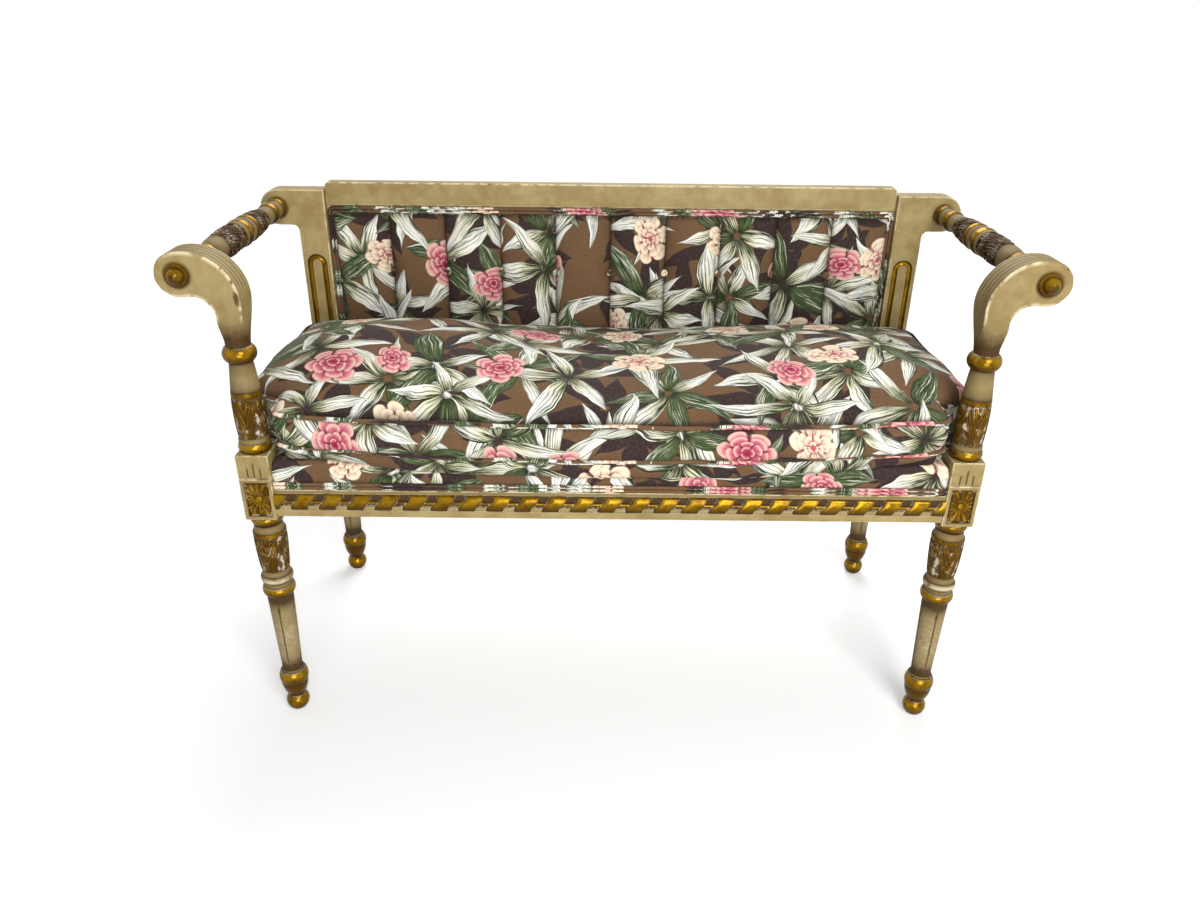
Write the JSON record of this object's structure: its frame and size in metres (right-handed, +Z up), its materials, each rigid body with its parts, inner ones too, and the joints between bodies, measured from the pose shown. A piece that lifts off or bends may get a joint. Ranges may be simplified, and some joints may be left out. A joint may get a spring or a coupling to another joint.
{
  "type": "settee",
  "caption": "Open-arm settee with a turned, painted and gilded wooden frame, scrolled arms, a buttoned upholstered back, a webbed seat and a loose piped cushion that lifts out.",
  "frame": {"origin": "on the floor, under the middle of the settee's overall box", "axes": "+X across the seat to the right seen from the front, +Y from front to back, +Z up"},
  "size_m": [1.167, 0.47, 0.76],
  "materials": {
    "painted_wood": "aged cream paint with a brown glaze in the hollows and antique gold on the turned rings",
    "gilding": "antique gold leaf on wood",
    "bare_wood": "unfinished beech",
    "board": "thin plywood",
    "screw_steel": "plain steel",
    "webbing": "woven jute",
    "hessian": "open jute weave",
    "stuffing": "fibre stuffing",
    "printed_cloth": "printed cotton with a slight glaze, leaves and blossoms on a brown ground",
    "piping_cloth": "cord covered in the same cloth, cut on the bias"
  },
  "bodies": {
    "frame": {"front_leg_left": "painted_wood", "front_leg_right": "painted_wood", "back_leg_left": "painted_wood", "back_leg_right": "painted_wood", "arm_post_left": "painted_wood", "arm_post_right": "painted_wood", "arm_scroll_left": "painted_wood", "arm_scroll_right": "painted_wood", "arm_spindle_left": "painted_wood", "arm_spindle_right": "painted_wood", "back_upright_left": "painted_wood", "back_upright_right": "painted_wood", "crest_rail": "painted_wood", "back_lower_rail": "painted_wood", "front_rail": "painted_wood", "rear_rail": "painted_wood", "side_rail_left": "painted_wood", "side_rail_right": "painted_wood", "scroll_boss_left": "gilding", "scroll_boss_right": "gilding", "ribbon_moulding": "gilding", "corner_braces": "bare_wood", "rail_dowels": "bare_wood", "post_dowels": "bare_wood", "back_dowels": "bare_wood", "back_board": "board", "corner_screws": "screw_steel", "seat_webs_front_to_back": "webbing", "seat_webs_across": "webbing", "seat_hessian": "hessian", "seat_stuffing": "stuffing", "seat_cover": "printed_cloth", "back_pad": "printed_cloth", "back_buttons": "printed_cloth", "outside_back": "printed_cloth", "seat_welt": "piping_cloth", "back_welt": "piping_cloth"},
    "cushion": {"seat_cushion": "printed_cloth", "cushion_piping_top": "piping_cloth", "cushion_piping_bottom": "piping_cloth"}
  },
  "joints": [
    {"name": "cushion_lift", "type": "slide", "parent": "frame", "child": "cushion", "axis": [0, 0, 1], "range_m": [0, 0.32]}
  ]
}
